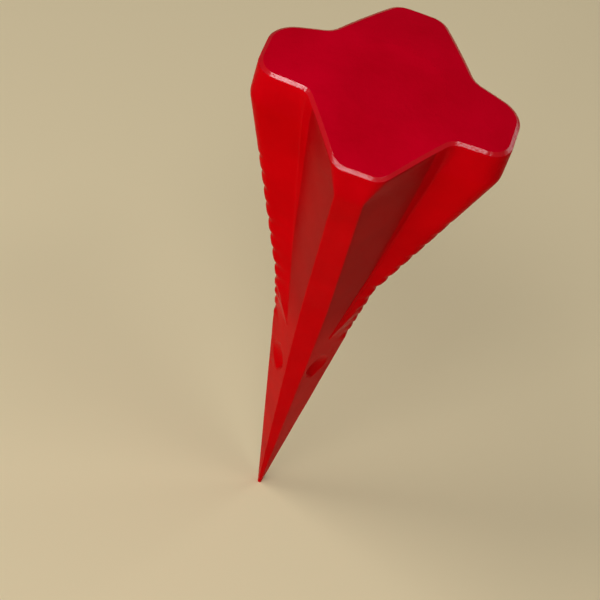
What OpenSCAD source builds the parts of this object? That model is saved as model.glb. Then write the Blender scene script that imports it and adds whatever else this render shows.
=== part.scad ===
// Four winged splitting wedge: a steel forging that is driven into a log point first.
// The origin is at the tip, +Z runs up the axis to the striking face. Millimetres.
// Two opposite wings, left and right, carry teeth on their outer edge.
// The front and back wings end in a plain flat strip.

/* [Overall] */
// Length from the tip to the middle of the striking face
length = 195; // [180:1:210]
// Width across the two toothed wings at the striking face
toothed_span = 78; // [74:1:84]
// Width across the two plain wings at the striking face
plain_span = 75; // [72:1:80]

/* [Striking head] */
// Height of the collar between the striking face and the grooves
collar_height = 14; // [10:1:18]
// How far the striking face falls from its middle to the ends of its lobes
crown_drop = 3.5; // [2:0.5:5]
// Diameter of the flat in the middle of the striking face
flat_diameter = 32; // [20:1:36]
// Half the width of a toothed lobe at its end
toothed_lobe_half_width = 10.8; // [10:0.1:12.5]
// Half the width of a plain lobe at its end
plain_lobe_half_width = 7.4; // [6:0.1:9]
// Corner radius of the two toothed lobes
toothed_lobe_round = 8.5; // [6:0.5:10]
// Corner radius of the two plain lobes
plain_lobe_round = 6.5; // [4:0.5:8]
// How far the toothed lobes stand out past their wings
toothed_lobe_lip = 0.4; // [0:0.2:3]
// How far the head closes over the grooves
groove_lip = 1.4; // [0.4:0.2:3]

/* [Toothed wings] */
// Reach from the axis at the bend
toothed_bend_reach = 15.6; // [14:0.2:17]
// Half the width of the outer edge under the collar
toothed_collar_half_width = 12; // [11:0.1:13]
// Half the width of the outer edge at the bend
toothed_bend_half_width = 11; // [10:0.1:12]
// Half the width of the outer edge where the grooves start
toothed_groove_half_width = 5.2; // [4:0.1:6]

/* [Plain wings] */
// Reach from the axis at the bend
plain_bend_reach = 22; // [20:0.5:24]
// Half the width of the outer strip under the collar
plain_collar_half_width = 4.2; // [3.6:0.1:5.5]
// Half the width of the outer strip at the bend
plain_bend_half_width = 4; // [3:0.1:5]
// Half the width of the outer strip where the grooves start
plain_groove_half_width = 3.5; // [2.6:0.1:4]

/* [Grooves] */
// Height of the bend in the outer edges, where the wings begin to flare
bend_height = 117; // [112:1:124]
// Height at which the four grooves between the wings run out
groove_height = 96; // [90:1:104]
// Half the width between the grooves, left to right, under the collar
core_half_width = 21; // [19:0.1:22]
// Half the depth between the grooves, front to back, under the collar
core_half_depth = 14.2; // [13:0.1:15.5]

/* [Teeth] */
// Number of notches along the outer edge of a toothed wing
notch_count = 12; // [8:1:12]
// Distance between two notches
notch_pitch = 6; // [5.6:0.1:6.2]
// Height of the lowest notch
notch_start = 93; // [90:1:94]
// Radius of a notch
notch_radius = 3.2; // [2.6:0.2:4]
// Depth of the lowest notch
notch_depth_low = 0.8; // [0.6:0.1:1.2]
// Depth of the highest notch
notch_depth_high = 0.4; // [0.3:0.1:0.8]

/* [Point] */
// Half the width of the tip, left to right
tip_half_width = 0.7; // [0.6:0.1:1.5]
// Half the depth of the tip, front to back
tip_half_depth = 1.2; // [0.8:0.1:1.8]
// Height of the middle of the four hollows in the point
hollow_height = 77; // [72:1:81]
// Length of a hollow
hollow_length = 14; // [10:1:15]
// Width of a hollow
hollow_width = 8; // [6:0.5:9]
// Depth of a hollow
hollow_depth = 1.8; // [0.8:0.1:2]

/* [Hidden] */
$fn = 96;

collar_base = length - collar_height;
rim_height = length - crown_drop;
toothed_collar_reach = toothed_span / 2 - toothed_lobe_lip;

// Corner radii of the wings, from the tip up
tip_round = 0.1;
groove_round = 0.8;
plain_bend_round = 1;
toothed_bend_round = 2.5;
plain_collar_round = 1.2;
toothed_collar_round = toothed_lobe_round - 3;
// Steps in each rounded corner
corner_steps = 8;

// Reach of an outer edge at the height where the grooves start, on the line from tip to bend
function groove_reach(tip_reach, bend_reach) =
    tip_reach + (bend_reach - tip_reach) * groove_height / bend_height;

// Outer edge of a toothed wing: height, reach from the axis, half width, corner radius
toothed_edge = [
    [0, tip_half_width, tip_half_depth / 2, tip_round],
    [
        groove_height,
        groove_reach(tip_half_width, toothed_bend_reach),
        toothed_groove_half_width,
        groove_round
    ],
    [bend_height, toothed_bend_reach, toothed_bend_half_width, toothed_bend_round],
    [collar_base, toothed_collar_reach, toothed_collar_half_width, toothed_collar_round],
    [rim_height, toothed_span / 2, toothed_lobe_half_width, toothed_lobe_round]
];

// Outer edge of a plain wing: height, reach from the axis, half width, corner radius
plain_edge = [
    [0, tip_half_depth, tip_half_width / 2, tip_round],
    [
        groove_height,
        groove_reach(tip_half_depth, plain_bend_reach),
        plain_groove_half_width,
        groove_round
    ],
    [bend_height, plain_bend_reach, plain_bend_half_width, plain_bend_round],
    [collar_base, plain_span / 2, plain_collar_half_width, plain_collar_round],
    [rim_height, plain_span / 2, plain_lobe_half_width, plain_lobe_round]
];

// Value in a column of an edge table at a height
function along(edge, column, z) = lookup(z, [for (row = edge) [row[0], row[column]]]);

// Corners of the outline at a height, in the quarter where x and y are positive
function toothed_tip(z) = [along(toothed_edge, 1, z), along(toothed_edge, 2, z)];
function plain_tip(z) = [along(plain_edge, 2, z), along(plain_edge, 1, z)];

// The groove starts on the straight line between the two wing tips
groove_start_share = 0.4;
groove_start = plain_tip(groove_height) * (1 - groove_start_share)
    + toothed_tip(groove_height) * groove_start_share;
groove_line = [
    [groove_height, groove_start[0], groove_start[1]],
    [collar_base, core_half_width, core_half_depth],
    [rim_height, core_half_width + groove_lip, core_half_depth]
];
function groove(z) = [along(groove_line, 1, z), along(groove_line, 2, z)];

// Turns a corner into the opposite left-right or front-back quarter
function flip_x(p) = [-p[0], p[1]];
function flip_y(p) = [p[0], -p[1]];

function unit(v) = v / norm(v);

// Points of the round that replaces corner b of the path a, b, c
function rounded(a, b, c, radius) =
    let (
        to_a = unit(a - b),
        to_c = unit(c - b),
        half_angle = acos(to_a * to_c) / 2,
        reach = radius / tan(half_angle),
        start = b + to_a * reach,
        end = b + to_c * reach,
        weight = sin(half_angle)
    )
    [for (i = [0:corner_steps])
        let (
            t = i / corner_steps,
            w_start = (1 - t) * (1 - t),
            w_corner = 2 * t * (1 - t) * weight,
            w_end = t * t
        )
        (start * w_start + b * w_corner + end * w_end) / (w_start + w_corner + w_end)
    ];

// Places a flat outline at a height
function raised(outline, z) = [for (p = outline) [p[0], p[1], z]];

// Two triangles between neighbouring rings, split along one diagonal or the other
function side_faces(a, b, ring_size, rising) =
    let (c = b + ring_size, d = a + ring_size)
    rising ? [[a, d, c], [a, c, b]] : [[a, d, b], [b, d, c]];

// Solid through rings that all have the same number of points, lowest ring first
module stack(rings) {
    size = len(rings[0]);
    top = (len(rings) - 1) * size;
    sides = [
        for (base = [0:size:top - 1], j = [0:size - 1])
            each side_faces(base + j, base + (j + 1) % size, size, j < size / 2)
    ];
    lowest = [for (j = [0:size - 1]) j];
    highest = [for (j = [size - 1:-1:0]) top + j];
    polyhedron([for (ring = rings) each ring], concat(sides, [lowest, highest]));
}

// Outline of the right toothed wing at a height
function toothed_outline(z) =
    let (tip = toothed_tip(z), radius = along(toothed_edge, 3, z))
    concat(
        [flip_y(groove(z))],
        rounded(flip_y(groove(z)), flip_y(tip), tip, radius),
        rounded(flip_y(tip), tip, groove(z), radius),
        [groove(z)]
    );

// Outline of the back plain wing at a height
function plain_outline(z) =
    let (tip = plain_tip(z), radius = along(plain_edge, 3, z))
    concat(
        [groove(z)],
        rounded(groove(z), tip, flip_x(tip), radius),
        rounded(tip, flip_x(tip), flip_x(groove(z)), radius),
        [flip_x(groove(z))]
    );

function half_turn(outline) = [for (p = outline) -p];

// Outline of the collar at a height: four lobes and four grooves
function collar_outline(z) = concat(
    toothed_outline(z),
    plain_outline(z),
    half_turn(toothed_outline(z)),
    half_turn(plain_outline(z))
);

// Outline of the point at a height: four strips and four slanting faces
function point_outline(z) =
    let (
        side = toothed_tip(z),
        side_radius = along(toothed_edge, 3, z),
        end = plain_tip(z),
        end_radius = along(plain_edge, 3, z),
        quarter_turn_pair = concat(
            rounded(flip_y(end), flip_y(side), side, side_radius),
            rounded(flip_y(side), side, end, side_radius),
            rounded(side, end, flip_x(end), end_radius),
            rounded(end, flip_x(end), flip_x(side), end_radius)
        )
    )
    concat(quarter_turn_pair, half_turn(quarter_turn_pair));

// Lean of the toothed edge from the axis, below and above the bend
lower_lean = atan((toothed_bend_reach - tip_half_width) / bend_height);
upper_lean = atan((toothed_collar_reach - toothed_bend_reach) / (collar_base - bend_height));

// Bars that cut the notches into the right toothed wing
module notches() {
    for (i = [0:notch_count - 1]) {
        z = notch_start + i * notch_pitch;
        share = i / (notch_count - 1);
        depth = notch_depth_low * (1 - share) + notch_depth_high * share;
        lean = z < bend_height ? lower_lean : upper_lean;
        offset = notch_radius - depth;
        translate([along(toothed_edge, 1, z) + offset * cos(lean), 0, z - offset * sin(lean)])
            rotate([90, 0, 0])
                cylinder(r = notch_radius, h = plain_span, center = true);
    }
}

// Crowned top of the striking face: a flat disc and a shallow dome that falls to the rim
module crown() {
    flat_radius = flat_diameter / 2;
    rim_radius = toothed_span / 2;
    spread = rim_radius * rim_radius - flat_radius * flat_radius;
    depth = (spread + crown_drop * crown_drop) / (2 * crown_drop);
    rotate_extrude()
        intersection() {
            translate([0, length - depth])
                circle(norm([flat_radius, depth]), $fn = 360);
            translate([0, collar_base])
                square([toothed_span, collar_height]);
        }
}

// Radius of the circle on which an arc of a given chord and height lies
function arc_radius(chord, rise) = (chord * chord / 4 + rise * rise) / (2 * rise);

// Radius of the fat middle of a spindle that cuts a hollow
hollow_belly = arc_radius(hollow_width, hollow_depth);

// Spindle that stands on end: its profile gives the hollow's length and its girth the width
module hollow_spindle() {
    sweep = arc_radius(hollow_length, hollow_depth);
    rotate_extrude()
        intersection() {
            translate([hollow_belly - sweep, 0])
                circle(sweep);
            translate([0, -sweep])
                square([hollow_belly, 2 * sweep]);
        }
}

// Cuts the hollow into the slanting face between the right and the back strip
module hollow() {
    side = toothed_tip(hollow_height);
    end = plain_tip(hollow_height);
    middle = (side + end) / 2;
    across = side - end;
    heading = atan2(across[0], -across[1]);
    lean = atan(norm(middle) / hollow_height);
    translate([middle[0], middle[1], hollow_height])
        rotate([0, 0, heading])
            rotate([0, lean, 0])
                translate([hollow_belly - hollow_depth, 0, 0])
                    hollow_spindle();
}

module striking_head() {
    color("crimson")
        intersection() {
            stack([for (z = [collar_base, rim_height, length + 1]) raised(collar_outline(z), z)]);
            crown();
        }
}

module core() {
    color("firebrick")
        stack([
            for (z = [groove_height, collar_base])
                raised([-groove(z), flip_y(groove(z)), groove(z), flip_x(groove(z))], z)
        ]);
}

module toothed_wing() {
    difference() {
        stack([for (z = [groove_height, bend_height, collar_base]) raised(toothed_outline(z), z)]);
        notches();
    }
}

module plain_wing() {
    stack([for (z = [groove_height, bend_height, collar_base]) raised(plain_outline(z), z)]);
}

module wing_left() {
    color("red") rotate([0, 0, 180]) toothed_wing();
}

module wing_right() {
    color("red") toothed_wing();
}

module wing_front() {
    color("darkred") rotate([0, 0, 180]) plain_wing();
}

module wing_back() {
    color("darkred") plain_wing();
}

module point() {
    color("brown")
        difference() {
            stack([for (z = [0, groove_height]) raised(point_outline(z), z)]);
            for (turn = [0, 180]) rotate([0, 0, turn]) notches();
            for (side = [0, 1], end = [0, 1]) mirror([side, 0, 0]) mirror([0, end, 0]) hollow();
        }
}

striking_head();
core();
wing_left();
wing_right();
wing_front();
wing_back();
point();
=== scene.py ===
"""Looks of a four winged splitting wedge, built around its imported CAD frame.

The wedge is one painted steel forging. Its seven nodes are regions of one surface, so every
visible mesh here is cut from one formula for the wedge's outline at a height, and neighbouring
pieces meet with the same points and the same normals.
"""

import bisect
import math

import bpy
import numpy as np
from mathutils import Matrix, Vector, noise


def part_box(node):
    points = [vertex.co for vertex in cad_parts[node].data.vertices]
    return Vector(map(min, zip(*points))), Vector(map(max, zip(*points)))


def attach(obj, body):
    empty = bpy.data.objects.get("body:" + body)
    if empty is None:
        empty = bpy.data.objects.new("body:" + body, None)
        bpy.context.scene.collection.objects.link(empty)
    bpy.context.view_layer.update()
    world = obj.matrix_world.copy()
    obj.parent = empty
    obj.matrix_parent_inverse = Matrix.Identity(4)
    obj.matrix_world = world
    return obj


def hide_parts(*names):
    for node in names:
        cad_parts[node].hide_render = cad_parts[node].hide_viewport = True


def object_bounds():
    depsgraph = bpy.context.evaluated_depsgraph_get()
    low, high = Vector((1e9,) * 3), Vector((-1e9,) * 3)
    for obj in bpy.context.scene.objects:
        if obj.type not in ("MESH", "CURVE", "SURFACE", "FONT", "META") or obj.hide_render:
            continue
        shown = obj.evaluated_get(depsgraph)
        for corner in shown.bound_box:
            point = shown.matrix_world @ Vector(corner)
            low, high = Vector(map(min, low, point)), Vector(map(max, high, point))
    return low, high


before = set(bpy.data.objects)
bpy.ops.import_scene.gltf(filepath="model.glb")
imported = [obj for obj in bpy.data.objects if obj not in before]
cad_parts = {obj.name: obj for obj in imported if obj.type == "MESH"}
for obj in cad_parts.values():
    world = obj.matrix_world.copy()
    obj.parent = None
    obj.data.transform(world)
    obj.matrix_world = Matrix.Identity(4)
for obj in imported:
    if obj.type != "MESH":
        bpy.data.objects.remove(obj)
cad_low, cad_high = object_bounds()

# ---------------------------------------------------------------------------------------------
# Driving values. Lengths of the wedge are in millimetres until a mesh is made.
# ---------------------------------------------------------------------------------------------
MM = 0.001

# Heights and spans come from the frame
LENGTH = cad_high.z / MM
COLLAR_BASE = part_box("striking_head")[0].z / MM
GROOVE_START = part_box("core")[0].z / MM
TOOTHED_REACH = cad_high.x / MM
PLAIN_REACH = cad_high.y / MM

# Crown of the striking face
CROWN_DROP = 3.5
CROWN_FLAT_RADIUS = 16.0
RIM_HEIGHT = LENGTH - CROWN_DROP
RIM_ROUND = 1.7
RIM_CHAMFER_IN, RIM_CHAMFER_DOWN = 1.3, 0.7
RIM_CHAMFER_FLAT = 0.7
RIM_STEPS = 5
FACE_STEPS = 30
FACE_MIDDLE = 0.01
# Upward part of a face's normal at which the rim begins, and at which it gives way to the face
RIM_FACING = (0.4, 0.93)

# Wings: reach at the tip and at the bend, where they begin to flare. A toothed wing's reach at
# the collar's foot is smaller than at the rim by the lip.
TIP_TOOTHED_REACH, TIP_PLAIN_REACH = 0.7, 1.2
PLAIN_BEND_HEIGHT, PLAIN_BEND_REACH = 117.0, 22.0
COLLAR_LIP = 0.4

# Grooves: half the core's width and depth under the collar, how much wider they open at the
# rim, and the round at their bottom under the collar and at the rim
CORE_HALF_WIDTH, CORE_HALF_DEPTH = 21.0, 14.2
GROOVE_LIP = 1.4
VALLEY_ROUND, RIM_VALLEY_ROUND = 1.8, 6.0

# Half the height over which a change of slope is spread, on the wings and in the grooves
EASE = 1.2
GROOVE_EASE = 6.0

# Teeth on the outer edge of the toothed wings
TOOTH_PITCH = 6.0
TOOTH_FIRST = 93.0
TOOTH_COUNT = 12
TOOTH_RADIUS = 3.2
TOOTH_SOFTNESS = 0.06
TOOTH_VARIATION = 0.35
TOOTH_FADE = 2.2

# Relief of the forging: depths, and how far the cross ripples reach from the toothed edge
UNEVEN_DEPTH = 0.14
RIPPLE_DEPTH = 0.24
RIPPLE_FADE = 9.0
POINT_RIPPLE_FADE = 3.0
RIPPLE_HEIGHTS = (TOOTH_FIRST - TOOTH_PITCH, TOOTH_FIRST, 150.0, 172.0)
RIPPLE_STRENGTHS = (0, 1, 0.8, 0)

# Hollows in the slanting faces of the point. The ridge is the deepest line's place across a
# hollow, from -1 at its edge on the toothed side to 1 at its edge on the strip's side.
HOLLOW_LENGTH = 14.0
HOLLOW_WIDTH = 8.5
HOLLOW_DEPTH = 2.0
HOLLOW_RIDGE = 0.35

# Steps along each part of a quarter outline, and the height of a row of faces. Near the tip the
# point is plain, so its rows are taller.
END_STEPS = 6
CORNER_STEPS = 10
CHAMFER_STEPS = 6
RIDGE_STEPS = 5
FLANK_STEPS = 22
VALLEY_STEPS = 12
PLAIN_FLANK_STEPS = 16
STRIP_CORNER_STEPS = 6
STRIP_STEPS = 5
SLANT_STEPS = 48
ROW_HEIGHT = 0.5
TIP_ROW_HEIGHT = 1.5
TIP_ROWS_END = 60.0


def groove_reach(tip_reach, bend_reach, bend_height):
    """Reach of an outer edge where the grooves start, on the line from the tip to the bend."""
    return tip_reach + (bend_reach - tip_reach) * GROOVE_START / bend_height


def outward(start, end):
    """Unit normal on the right of the way from start to end."""
    way = end - start
    return np.array([way[1], -way[0]]) / np.hypot(*way)


# Edge tables: height, reach from the axis, half width, corner radius
PLAIN_EDGE = np.array([
    [0, TIP_PLAIN_REACH, 0.45, 0.2],
    [
        GROOVE_START,
        groove_reach(TIP_PLAIN_REACH, PLAIN_BEND_REACH, PLAIN_BEND_HEIGHT),
        3.5,
        0.6,
    ],
    [PLAIN_BEND_HEIGHT, PLAIN_BEND_REACH, 4.0, 0.8],
    [COLLAR_BASE, PLAIN_REACH, 4.2, 1.2],
    [RIM_HEIGHT, PLAIN_REACH, 7.4, 6.5],
])


class Side:
    """One toothed wing's edge and the grooves beside it. The forging's two sides differ a little."""

    def __init__(
        self, sign, bend_height, bend_reach, bend_half_width, groove_share, depths, hollow
    ):
        self.sign = sign
        self.tooth_depths = depths
        self.hollow_height, self.hollow_share = hollow
        self.edge = np.array([
            [0, TIP_TOOTHED_REACH, 0.6, 0.3],
            [
                GROOVE_START,
                groove_reach(TIP_TOOTHED_REACH, bend_reach, bend_height),
                5.2,
                0.8,
            ],
            [bend_height, bend_reach, bend_half_width, 2.5],
            [COLLAR_BASE, TOOTHED_REACH - COLLAR_LIP, 12.0, 5.5],
            [RIM_HEIGHT, TOOTHED_REACH, 10.8, 8.5],
        ])
        # The groove starts on the straight line between the toothed edge and the plain one
        side, end = self.edge[1, 1:3], PLAIN_EDGE[1, 1:3][::-1]
        foot = end * (1 - groove_share) + side * groove_share
        self.groove = np.array([
            [GROOVE_START, *foot],
            [COLLAR_BASE, CORE_HALF_WIDTH, CORE_HALF_DEPTH],
            [RIM_HEIGHT, CORE_HALF_WIDTH + GROOVE_LIP, CORE_HALF_DEPTH],
        ])
        # Outer limit of the flat flank: from the groove's start to the bend, then up the edge
        self.limit = np.vstack([[GROOVE_START, *foot, 0], self.edge[2:]])
        self.chamfer = outward(side, foot)


RIGHT_SIDE = Side(
    sign=1,
    bend_height=120,
    bend_reach=15.1,
    bend_half_width=11.3,
    groove_share=0.46,
    depths=(0.6, 0.15),
    hollow=(79, 0.58),
)
LEFT_SIDE = Side(
    sign=-1,
    bend_height=113,
    bend_reach=15.9,
    bend_half_width=10.4,
    groove_share=0.35,
    depths=(0.6, 0.3),
    hollow=(76, 0.5),
)


# ---------------------------------------------------------------------------------------------
# Outline of the wedge at a height
# ---------------------------------------------------------------------------------------------
def eased(table, column, z, ease=EASE):
    """Value in a column of a table at height z, with its kinks spread over a short height.

    The kink where the grooves start stays sharp, because two pieces meet there.
    """
    reach = min(ease, abs(z - GROOVE_START) / 2)
    samples = z + reach * np.linspace(-1, 1, 7)
    return float(np.mean(np.interp(samples, table[:, 0], table[:, column])))


def eased_point(table, z, ease=EASE):
    return np.array([eased(table, 1, z, ease), eased(table, 2, z, ease)])


def groove_foot(part, z):
    return eased_point(part.groove, z, GROOVE_EASE)


def crossing(n1, d1, n2, d2):
    """Point whose distances along normals n1 and n2 are d1 and d2."""
    return np.linalg.solve(np.array([n1, n2]), np.array([d1, d2]))


def arc(centre, n_from, n_to, radius, steps, hollow=False):
    """Points and outward normals on an arc from one normal to another, both ends in."""
    start = math.atan2(n_from[1], n_from[0])
    turn = math.remainder(math.atan2(n_to[1], n_to[0]) - start, 2 * math.pi)
    angles = start + turn * np.linspace(0, 1, steps + 1)
    normals = np.stack([np.cos(angles), np.sin(angles)], axis=1)
    return centre + (-radius if hollow else radius) * normals, normals


def chain(parts):
    """Outline through arcs and lines between them. Each part is an arc or a number of steps."""
    points, normals = [], []
    for i, part in enumerate(parts):
        if isinstance(part, int):
            (before, n_before), (after, n_after) = parts[i - 1], parts[i + 1]
            t = np.linspace(0, 1, part + 1)[1:-1, None]
            points.append(before[-1] * (1 - t) + after[0] * t)
            normals.append(n_before[-1] * (1 - t) + n_after[0] * t)
        else:
            points.append(part[0])
            normals.append(part[1])
    return np.concatenate(points), np.concatenate(normals)


RIGHT, BACK = np.array([1.0, 0.0]), np.array([0.0, 1.0])
CORNER_SHARE = 0.45


def trimmed(radius, turn, room):
    """A corner radius, made smaller where its tangent points would not fit in the room."""
    return min(radius, CORNER_SHARE * room / math.tan(turn / 2))


def grooved_quarter(z, part):
    """Outline above the groove's start where x and y are positive, from toothed end to strip."""
    side, end = eased_point(part.edge, z), eased_point(PLAIN_EDGE, z)[::-1]
    side_round, end_round = eased(part.edge, 3, z), eased(PLAIN_EDGE, 3, z)
    foot, limit = groove_foot(part, z), eased_point(part.limit, z)
    room = np.hypot(*(limit - foot))
    just_above = max(z, GROOVE_START + 0.1)
    flank = outward(eased_point(part.limit, just_above), groove_foot(part, just_above))
    plain = outward(foot, end)

    # Corner of the toothed end, cut by the chamfer below the bend
    chamfer = part.chamfer
    corner = crossing(RIGHT, side[0] - side_round, flank, flank @ foot - side_round)
    ridge_centre, ridge_round = corner, side_round
    if chamfer @ corner > chamfer @ side - side_round:
        ridge_round = trimmed(side_round, math.acos(chamfer @ flank), room)
        corner = crossing(RIGHT, side[0] - side_round, chamfer, chamfer @ side - side_round)
        ridge_centre = crossing(
            chamfer, chamfer @ side - ridge_round, flank, flank @ foot - ridge_round
        )

    full_round = np.interp(z, [COLLAR_BASE, RIM_HEIGHT], [VALLEY_ROUND, RIM_VALLEY_ROUND])
    valley_round = trimmed(full_round, math.acos(flank @ plain), room)
    valley_centre = crossing(
        flank, flank @ foot + valley_round, plain, plain @ foot + valley_round
    )
    strip_centre = crossing(plain, plain @ foot - end_round, BACK, end[1] - end_round)

    return chain([
        (np.array([[side[0], 0.0]]), RIGHT[None]),
        END_STEPS,
        arc(corner, RIGHT, chamfer, side_round, CORNER_STEPS),
        CHAMFER_STEPS,
        arc(ridge_centre, chamfer, flank, ridge_round, RIDGE_STEPS),
        FLANK_STEPS,
        arc(valley_centre, flank, plain, valley_round, VALLEY_STEPS, hollow=True),
        PLAIN_FLANK_STEPS,
        arc(strip_centre, plain, BACK, end_round, STRIP_CORNER_STEPS),
        STRIP_STEPS,
        (np.array([[0.0, end[1]]]), BACK[None]),
    ])


# Where the parts of a quarter outline start, counted in points
CORNER_AT = END_STEPS
CHAMFER_AT = CORNER_AT + CORNER_STEPS
RIDGE_AT = CHAMFER_AT + CHAMFER_STEPS
FLANK_AT = RIDGE_AT + RIDGE_STEPS
VALLEY_AT = FLANK_AT + FLANK_STEPS
PLAIN_AT = VALLEY_AT + VALLEY_STEPS
STRIP_CORNER_AT = PLAIN_AT + PLAIN_FLANK_STEPS
STRIP_AT = STRIP_CORNER_AT + STRIP_CORNER_STEPS
QUARTER = STRIP_AT + STRIP_STEPS
VALLEY_MIDDLE = VALLEY_AT + VALLEY_STEPS // 2


def point_quarter(z, part):
    """Outline below the groove's start where x and y are positive, from toothed end to strip."""
    side, end = eased_point(part.edge, z), eased_point(PLAIN_EDGE, z)[::-1]
    side_round, end_round = eased(part.edge, 3, z), eased(PLAIN_EDGE, 3, z)
    slant = outward(side, end)
    corner = crossing(RIGHT, side[0] - side_round, slant, slant @ side - side_round)
    strip_centre = crossing(slant, slant @ side - end_round, BACK, end[1] - end_round)
    return chain([
        (np.array([[side[0], 0.0]]), RIGHT[None]),
        END_STEPS,
        arc(corner, RIGHT, slant, side_round, CORNER_STEPS),
        SLANT_STEPS,
        arc(strip_centre, slant, BACK, end_round, STRIP_CORNER_STEPS),
        STRIP_STEPS,
        (np.array([[0.0, end[1]]]), BACK[None]),
    ])


# ---------------------------------------------------------------------------------------------
# Relief on the outline: teeth, forging ripples and hollows, all of them cut inwards
# ---------------------------------------------------------------------------------------------
def soft_positive(value, softness):
    return (value + np.sqrt(value * value + softness * softness)) / 2


def tooth_depth(z, part):
    """Depth of a side's tooth notches at height z."""
    i = min(max(round((z - TOOTH_FIRST) / TOOTH_PITCH), 0), TOOTH_COUNT - 1)
    share = i / (TOOTH_COUNT - 1)
    low, high = part.tooth_depths
    uneven = 1 + TOOTH_VARIATION * noise.noise(Vector((part.sign * 9.0, 0.0, i * 1.7)))
    depth = (low * (1 - share) + high * share) * uneven
    off = z - TOOTH_FIRST - i * TOOTH_PITCH
    return float(soft_positive(depth - off * off / (2 * TOOTH_RADIUS), TOOTH_SOFTNESS))


def distance_past(outline, start):
    """Distance along an outline past one of its points, zero before."""
    steps = np.linalg.norm(np.diff(outline, axis=0), axis=1)
    along = np.concatenate([[0], np.cumsum(steps)])
    return np.maximum(along - along[start], 0)


def around(right, left, flips):
    """A right and a left quarter's values carried round as one closed ring."""
    parts = []
    for values, fx, fy in ((right, 1, 1), (left, -1, 1), (left, -1, -1), (right, 1, -1)):
        part = values * np.array([fx, fy]) if flips else values
        parts.append(part[::-1][:-1] if fx * fy < 0 else part[:-1])
    return np.concatenate(parts)


def unevenness(x, y, z):
    """Gentle unevenness of a forged surface, from 0 to 1."""
    broad = noise.noise(Vector((x, y, z)) / 14.0)
    fine = noise.noise(Vector((x + 40, y, z)) / 4.5)
    return 0.5 + 0.36 * broad + 0.14 * fine


def ripple(x, y, z):
    """Cross ripples that run from the teeth over the flat flanks, from 0 to 1."""
    wander = 1.6 * noise.noise(Vector((x, y, z)) / 9.0)
    turn = 2 * math.pi * (z + wander - TOOTH_FIRST) / TOOTH_PITCH
    strength = 0.6 + 0.8 * noise.noise(Vector((x, y + 70, z)) / 7.0)
    return max(0.0, strength) * (0.5 + 0.5 * math.cos(turn))


def hollow_depths(outline, z, part):
    """Depth of the leaf-shaped hollow along a point outline at height z.

    Its broad wall faces like the flank above, and its steep wall is next to the plain strip.
    """
    along = (z - part.hollow_height) / (HOLLOW_LENGTH / 2)
    if abs(along) >= 1:
        return np.zeros(len(outline))
    side, end = eased_point(part.edge, z), eased_point(PLAIN_EDGE, z)[::-1]
    half_width = HOLLOW_WIDTH / 2 * (1 - along * along)
    across_way = (end - side) / np.hypot(*(end - side))
    middle = side + (end - side) * part.hollow_share
    across = (outline - middle) @ across_way / half_width
    broad_wall = (1 + across) / (1 + HOLLOW_RIDGE)
    steep_wall = (1 - across) / (1 - HOLLOW_RIDGE)
    return HOLLOW_DEPTH * (1 - along * along) * np.clip(np.minimum(broad_wall, steep_wall), 0, 1)


def relief(outline, z, part, quarter):
    """Depth cut along a quarter outline, and how strongly the cross ripples show on it."""
    past_end = distance_past(outline, CHAMFER_AT)
    depth = tooth_depth(z, part) * np.exp(-((past_end / TOOTH_FADE) ** 1.5))
    toothed_zone = np.interp(z, RIPPLE_HEIGHTS, RIPPLE_STRENGTHS)
    if quarter is grooved_quarter:
        on_flank = np.interp(np.arange(len(outline)), [VALLEY_AT, VALLEY_MIDDLE], [1, 0])
        on_flank = on_flank * np.exp(-past_end / RIPPLE_FADE)
    else:
        depth += hollow_depths(outline, z, part)
        on_flank = np.exp(-((past_end / POINT_RIPPLE_FADE) ** 2))
    return depth, on_flank * toothed_zone


def ring(z, quarter):
    """Closed ring of points at height z, relief cut in, and the outline's flat normals.

    It starts at the middle of the right wing's edge and goes round by the back.
    """
    right, left = quarter(z, RIGHT_SIDE), quarter(z, LEFT_SIDE)
    flat, normals = around(right[0], left[0], True), around(right[1], left[1], True)
    right_cut = relief(right[0], z, RIGHT_SIDE, quarter)
    left_cut = relief(left[0], z, LEFT_SIDE, quarter)
    depth = around(right_cut[0], left_cut[0], False)
    strength = around(right_cut[1], left_cut[1], False)
    for i, (x, y) in enumerate(flat):
        if strength[i] > 0.01:
            depth[i] += RIPPLE_DEPTH * strength[i] * ripple(x, y, z)
        depth[i] += UNEVEN_DEPTH * unevenness(x, y, z)
    points = np.column_stack([flat - normals * depth[:, None], np.full(len(flat), z)])
    return points, normals


# ---------------------------------------------------------------------------------------------
# Surfaces: grids of points with their normals
# ---------------------------------------------------------------------------------------------
def grid_normals(grid, flat_normals):
    """Outward normals of a grid of closed rings.

    Where points of a ring coincide, the outline's own normal gives the way along the ring.
    """
    along = np.roll(grid, -1, axis=1) - np.roll(grid, 1, axis=1)
    size = np.linalg.norm(along, axis=2, keepdims=True)
    known = np.dstack([-flat_normals[:, :, 1], flat_normals[:, :, 0], np.zeros(grid.shape[:2])])
    along = np.where(size > 1e-3, along / np.maximum(size, 1e-9), known)
    normals = np.cross(along, np.gradient(grid, axis=0))
    return normals / np.linalg.norm(normals, axis=2, keepdims=True)


def heights(low, high, step):
    return np.linspace(low, high, max(2, round((high - low) / step) + 1))


def crown_height(radius):
    """Height of the striking face at a distance from the axis: a flat, then a shallow dome."""
    spread = TOOTHED_REACH**2 - CROWN_FLAT_RADIUS**2
    depth = (spread + CROWN_DROP**2) / (2 * CROWN_DROP)
    dome_radius = math.hypot(CROWN_FLAT_RADIUS, depth)
    dome = LENGTH - depth + np.sqrt(dome_radius**2 - radius**2)
    return np.minimum(dome, LENGTH)


def surface(rows, quarter, last=None):
    """Grid of rings at some heights, with its normals. Rows from last on only help them."""
    rings = [ring(z, quarter) for z in rows]
    grid = np.array([points for points, _ in rings])
    normals = grid_normals(grid, np.array([flat for _, flat in rings]))
    return grid[:last], normals[:last]


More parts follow.
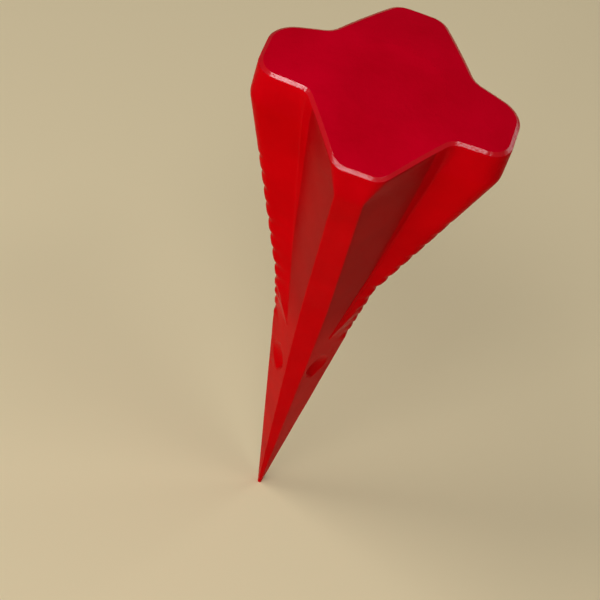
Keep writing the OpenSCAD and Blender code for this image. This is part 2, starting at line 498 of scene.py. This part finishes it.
def wing_surface():
    """The four wings from the groove's start to the collar."""
    rows = heights(GROOVE_START, COLLAR_BASE, ROW_HEIGHT)
    return surface([*rows, COLLAR_BASE + ROW_HEIGHT], grooved_quarter, last=-1)


def point_surface():
    """The point from the tip to the groove's start."""
    low_rows = heights(0, TIP_ROWS_END, TIP_ROW_HEIGHT)[:-1]
    high_rows = heights(TIP_ROWS_END, GROOVE_START, ROW_HEIGHT)
    return surface(np.concatenate([low_rows, high_rows]), point_quarter)


def bent(start, corner, end):
    """Rows of a curve from one row to another that is drawn towards a third."""
    rows = []
    for t in np.linspace(0, 1, RIM_STEPS + 1)[1:]:
        rows.append(start * (1 - t) ** 2 + corner * 2 * t * (1 - t) + end * t**2)
    return rows


def head_surface():
    """The head from the collar's foot up, over the bevelled rim and in to the face's middle."""
    levels = [ring(z, grooved_quarter) for z in heights(COLLAR_BASE - 2, LENGTH, ROW_HEIGHT)]
    level_heights = np.array([points[0, 2] for points, _ in levels])
    stacked = np.array([points for points, _ in levels])
    edge, flat_normals = levels[-1]

    def on_side(column_heights):
        """A ring on the side surface, at a height of its own in each column."""
        flat = [
            [np.interp(z, level_heights, stacked[:, column, axis]) for axis in (0, 1)]
            for column, z in enumerate(column_heights)
        ]
        return np.column_stack([flat, column_heights])

    def on_face(flat):
        return np.column_stack([flat, crown_height(np.hypot(flat[:, 0], flat[:, 1]))])

    curved = (1 - RIM_CHAMFER_FLAT) / 2
    rim = on_side(crown_height(np.hypot(edge[:, 0], edge[:, 1])))
    side_top = rim[:, 2] - RIM_ROUND
    shares = heights(0, 1, ROW_HEIGHT / (RIM_HEIGHT - COLLAR_BASE))
    shares = np.concatenate([[2 * shares[0] - shares[1]], shares])
    rows = [on_side(COLLAR_BASE + (side_top - COLLAR_BASE) * t) for t in shares]
    side_edge = rows[-1]
    face_edge = on_face(rim[:, :2] - flat_normals * RIM_ROUND)
    chamfer_side = on_side(rim[:, 2] - RIM_CHAMFER_DOWN)
    chamfer_face = on_face(rim[:, :2] - flat_normals * RIM_CHAMFER_IN)
    flat_low = chamfer_side * (1 - curved) + chamfer_face * curved
    flat_high = chamfer_side * curved + chamfer_face * (1 - curved)
    rows += bent(side_edge, chamfer_side, flat_low)
    rows += bent(flat_high, chamfer_face, face_edge)
    for share in np.linspace(1, FACE_MIDDLE, FACE_STEPS + 1)[1:]:
        rows.append(on_face(face_edge[:, :2] * share))
    grid = np.array(rows)
    normals = grid_normals(grid, np.broadcast_to(flat_normals, (len(grid), len(edge), 2)))
    return grid[1:], normals[1:]


# ---------------------------------------------------------------------------------------------
# Meshes
# ---------------------------------------------------------------------------------------------
def make_mesh(name, faces):
    """Object from faces, each a list of (point, normal). Equal points are joined."""
    index, points, polygons, normals = {}, [], [], []
    for face in faces:
        corners, face_normals = [], []
        for point, normal in face:
            key = tuple(round(float(v), 5) for v in point)
            if key not in index:
                index[key] = len(points)
                points.append([v * MM for v in key])
            if index[key] not in corners:
                corners.append(index[key])
                face_normals.append(normal)
        if len(corners) > 2:
            polygons.append(corners)
            normals.extend(face_normals)
    mesh = bpy.data.meshes.new(name)
    mesh.from_pydata(points, [], polygons)
    mesh.polygons.foreach_set("use_smooth", [True] * len(polygons))
    mesh.normals_split_custom_set([tuple(float(v) for v in n) for n in normals])
    mesh.update()
    obj = bpy.data.objects.new(name, mesh)
    bpy.context.scene.collection.objects.link(obj)
    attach(obj, "root")
    return obj


def skin(grid, normals, closed):
    """Faces of a grid of points, ring by ring from the lowest."""
    rows, columns = grid.shape[:2]
    faces = []
    for row in range(rows - 1):
        for column in range(columns if closed else columns - 1):
            beside = (column + 1) % columns
            corners = ((row, column), (row, beside), (row + 1, beside), (row + 1, column))
            faces.append([(grid[corner], normals[corner]) for corner in corners])
    return faces


def cap(points, upwards):
    """One flat face across a ring."""
    normal = np.array([0, 0, 1.0 if upwards else -1.0])
    ordered = points if upwards else points[::-1]
    return [(p, normal) for p in ordered]


def build_point():
    grid, normals = point_surface()
    faces = skin(grid, normals, True)
    faces.append(cap(grid[-1], True))
    faces.append(cap(grid[0], False))
    return make_mesh("point_forging", faces)


def build_head():
    grid, normals = head_surface()
    faces = skin(grid, normals, True)
    faces.append(cap(grid[-1], True))
    faces.append(cap(grid[0], False))
    obj = make_mesh("head_forging", faces)
    for polygon in obj.data.polygons:
        polygon.material_index = bisect.bisect(RIM_FACING, polygon.normal.z)
    return obj


def build_wing(name, surface, middle, reach):
    """One wing: its part of the surface, closed on the inside along the core's corners."""
    grid, normals = surface
    columns = [(middle + k) % grid.shape[1] for k in range(-reach, reach + 1)]
    grid, normals = grid[:, columns], normals[:, columns]
    inner = []
    for row in grid:
        ends = []
        for point in (row[-1], row[0]):
            part = RIGHT_SIDE if point[0] > 0 else LEFT_SIDE
            foot = groove_foot(part, point[2])
            ends.append([*(np.sign(point[:2]) * foot), point[2]])
        inner.append(ends)
    inner = np.array(inner)
    back = np.concatenate([grid[:, -1:], inner, grid[:, :1]], axis=1)
    faces = skin(grid, normals, False)
    inward = -np.mean(normals.reshape(-1, 3), axis=0)
    inward /= np.linalg.norm(inward)
    faces += skin(back, np.broadcast_to(inward, back.shape), False)
    whole = np.concatenate([grid, inner], axis=1)
    faces.append(cap(whole[-1], True))
    faces.append(cap(whole[0], False))
    return make_mesh(name, faces)


wings = wing_surface()
point = build_point()
head = build_head()
wing_right = build_wing("toothed_wing_right", wings, 0, VALLEY_MIDDLE)
wing_back = build_wing("plain_wing_back", wings, QUARTER, QUARTER - VALLEY_MIDDLE)
wing_left = build_wing("toothed_wing_left", wings, 2 * QUARTER, VALLEY_MIDDLE)
wing_front = build_wing("plain_wing_front", wings, 3 * QUARTER, QUARTER - VALLEY_MIDDLE)
for piece, node in (
    (point, "point"),
    (head, "striking_head"),
    (wing_right, "wing_right"),
    (wing_back, "wing_back"),
    (wing_left, "wing_left"),
    (wing_front, "wing_front"),
):
    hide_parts(node)


# ---------------------------------------------------------------------------------------------
# Materials
# ---------------------------------------------------------------------------------------------
# Painted shade: a darker tone on the walls of the grooves, where shade falls, and how far those
# walls face sideways
PAINTED_GROOVE_SHADE = 0.68
WALL_FACING = (0.5, 0.85)
WALL_EDGE = 0.002


def noise_node(tree, place, scale, detail):
    node = tree.nodes.new("ShaderNodeTexNoise")
    node.inputs["Scale"].default_value = scale
    node.inputs["Detail"].default_value = detail
    tree.links.new(place, node.inputs["Vector"])
    return node.outputs["Fac"]


def math_node(tree, operation, *values):
    node = tree.nodes.new("ShaderNodeMath")
    node.operation = operation
    for value, socket in zip(values, node.inputs):
        tree.links.new(value, socket)
    return node.outputs["Value"]


def fade(tree, value, start, end):
    """0 where the value is below start, 1 where it is above end."""
    node = tree.nodes.new("ShaderNodeMapRange")
    node.interpolation_type = "SMOOTHSTEP"
    node.inputs["From Min"].default_value = start
    node.inputs["From Max"].default_value = end
    tree.links.new(value, node.inputs["Value"])
    return node.outputs["Result"]


def size_of(tree, vector, axis):
    """Absolute value of one component of a vector."""
    node = tree.nodes.new("ShaderNodeSeparateXYZ")
    tree.links.new(vector, node.inputs["Vector"])
    return math_node(tree, "ABSOLUTE", node.outputs[axis])


def painted_groove_shade_mask(tree, place, facing):
    """1 on the side walls of the front and back wings, which line the grooves; there the shade is
    painted.
    """
    sideways = fade(tree, size_of(tree, facing, "X"), *WALL_FACING)
    across = math_node(tree, "SUBTRACT", size_of(tree, place, "Y"), size_of(tree, place, "X"))
    on_plain_wing = fade(tree, across, 0, WALL_EDGE)
    above_point = fade(tree, size_of(tree, place, "Z"), GROOVE_START * MM, PLAIN_BEND_HEIGHT * MM)
    upright = math_node(tree, "MULTIPLY", sideways, on_plain_wing)
    return math_node(tree, "MULTIPLY", upright, above_point)


def enamel(name, blue, ior=1.05, gloss=(0.14, 0.24)):
    """Red enamel over forged steel: cloudy colour, uneven gloss, a fine orange peel and painted
    shade on the groove walls.
    """
    material = bpy.data.materials.new(name)
    material.use_nodes = True
    tree = material.node_tree
    shader = tree.nodes["Principled BSDF"]
    shader.inputs["IOR"].default_value = ior
    coordinates = tree.nodes.new("ShaderNodeTexCoord")
    place = coordinates.outputs["Object"]

    ramp = tree.nodes.new("ShaderNodeValToRGB")
    thin, thick = ramp.color_ramp.elements
    thin.position, thin.color = 0.3, (0.50, 0.0, 0.8 * blue, 1)
    thick.position, thick.color = 0.7, (0.60, 0.0, 1.2 * blue, 1)
    tree.links.new(noise_node(tree, place, scale=60, detail=4), ramp.inputs["Fac"])
    # Painted shade: the groove walls are multiplied by a darker grey where the mask is 1
    groove_shade = tree.nodes.new("ShaderNodeMix")
    groove_shade.data_type = "RGBA"
    groove_shade.blend_type = "MULTIPLY"
    groove_shade.inputs["B"].default_value = (PAINTED_GROOVE_SHADE, PAINTED_GROOVE_SHADE, PAINTED_GROOVE_SHADE, 1)
    tree.links.new(ramp.outputs["Color"], groove_shade.inputs["A"])
    tree.links.new(painted_groove_shade_mask(tree, place, coordinates.outputs["Normal"]), groove_shade.inputs["Factor"])
    tree.links.new(groove_shade.outputs["Result"], shader.inputs["Base Color"])

    shine = tree.nodes.new("ShaderNodeMapRange")
    shine.inputs["From Min"].default_value = 0.3
    shine.inputs["From Max"].default_value = 0.7
    shine.inputs["To Min"].default_value, shine.inputs["To Max"].default_value = gloss
    tree.links.new(noise_node(tree, place, scale=140, detail=3), shine.inputs["Value"])
    tree.links.new(shine.outputs["Result"], shader.inputs["Roughness"])

    bump = tree.nodes.new("ShaderNodeBump")
    bump.inputs["Strength"].default_value = 0.35
    bump.inputs["Distance"].default_value = 0.0003
    tree.links.new(noise_node(tree, place, scale=600, detail=2), bump.inputs["Height"])
    tree.links.new(bump.outputs["Normal"], shader.inputs["Normal"])
    return material


def dress(obj, slot, *materials):
    """Gives a new piece its materials; the slot argument is not used."""
    for material in materials:
        obj.data.materials.append(material)


head_paint = enamel("head_enamel_paint", blue=0.003)
rim_paint = enamel("rim_enamel_paint", blue=0.006, ior=1.5, gloss=(0.16, 0.20))
# The face enamel's extra blue is painted light: a tint standing in for the light falling on the top
top_light_face_paint = enamel("face_enamel_painted_top_light", blue=0.011)
wing_paint = enamel("wing_enamel_paint", blue=0.002)
for piece in (wing_right, wing_back, wing_left, wing_front):
    dress(piece, "wing_enamel", wing_paint)
dress(head, "head_enamel", head_paint, rim_paint, top_light_face_paint)
dress(point, "point_enamel", enamel("point_enamel_paint", blue=0.002))
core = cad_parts["core"]
core.data.materials.clear()
core.data.materials.append(wing_paint)


# ---------------------------------------------------------------------------------------------
# Stage: floor, lights and camera
# ---------------------------------------------------------------------------------------------
def plain_material(name, colour, roughness):
    material = bpy.data.materials.new(name)
    material.use_nodes = True
    shader = material.node_tree.nodes["Principled BSDF"]
    shader.inputs["Base Color"].default_value = (*colour, 1)
    shader.inputs["Roughness"].default_value = roughness
    return material


def floor(half_size, colour):
    mesh = bpy.data.meshes.new("floor")
    corners = [(x * half_size, y * half_size, 0) for x, y in ((-1, -1), (1, -1), (1, 1), (-1, 1))]
    mesh.from_pydata(corners, [], [(0, 1, 2, 3)])
    obj = bpy.data.objects.new("floor", mesh)
    obj.data.materials.append(plain_material("floor_paint", colour, 0.8))
    bpy.context.scene.collection.objects.link(obj)


def direction(azimuth, elevation):
    """Unit vector from the wedge at two angles in degrees. Azimuth 0 is in front, at -Y."""
    turn, rise = math.radians(azimuth), math.radians(elevation)
    level = math.cos(rise)
    return Vector((math.sin(turn) * level, -math.cos(turn) * level, math.sin(rise)))


def soft_light(name, azimuth, elevation, distance, size, power):
    """Area light that faces the middle of the wedge."""
    back = direction(azimuth, elevation)
    data = bpy.data.lights.new(name, "AREA")
    data.shape = "RECTANGLE"
    data.size, data.size_y = size
    data.energy = power
    obj = bpy.data.objects.new(name, data)
    obj.location = Vector((0, 0, LENGTH / 2 * MM)) + back * distance
    obj.rotation_mode = "QUATERNION"
    obj.rotation_quaternion = (-back).to_track_quat("-Z", "Y")
    bpy.context.scene.collection.objects.link(obj)


def photo_camera(azimuth, elevation, roll, distance, aim, lens):
    """Camera at the photograph's viewing angle, rolled about its own axis."""
    back = direction(azimuth, elevation)
    data = bpy.data.cameras.new("camera")
    data.lens = lens
    data.sensor_width = 36
    obj = bpy.data.objects.new("camera", data)
    level = (-back).to_track_quat("-Z", "Y").to_matrix()
    turned = level @ Matrix.Rotation(math.radians(roll), 3, "Z")
    obj.matrix_world = Matrix.LocRotScale(aim + back * distance, turned, None)
    bpy.context.scene.collection.objects.link(obj)
    bpy.context.scene.camera = obj


world = bpy.data.worlds.new("studio")
world.use_nodes = True
background = world.node_tree.nodes["Background"]
background.inputs["Color"].default_value = (1, 1, 1, 1)
background.inputs["Strength"].default_value = 0.12
bpy.context.scene.world = world
bpy.context.scene.view_settings.view_transform = "Standard"
floor(3.0, (0.86, 0.72, 0.45))
soft_light("main", azimuth=-16, elevation=57, distance=1.2, size=(0.7, 0.35), power=4.4)
soft_light("low", azimuth=-26, elevation=12, distance=1.4, size=(0.8, 0.3), power=6.7)
soft_light("key", azimuth=-75, elevation=60, distance=1.2, size=(0.4, 0.25), power=2.9)
soft_light("right_edge", azimuth=68, elevation=64, distance=1.2, size=(0.3, 0.15), power=1)
soft_light("back", azimuth=135, elevation=22, distance=1.6, size=(0.9, 0.7), power=4)
photo_camera(
    azimuth=2.72,
    elevation=47.67,
    roll=18.05,
    distance=0.764,
    aim=Vector((-0.0061, 0, 0.0941)),
    lens=144,
)
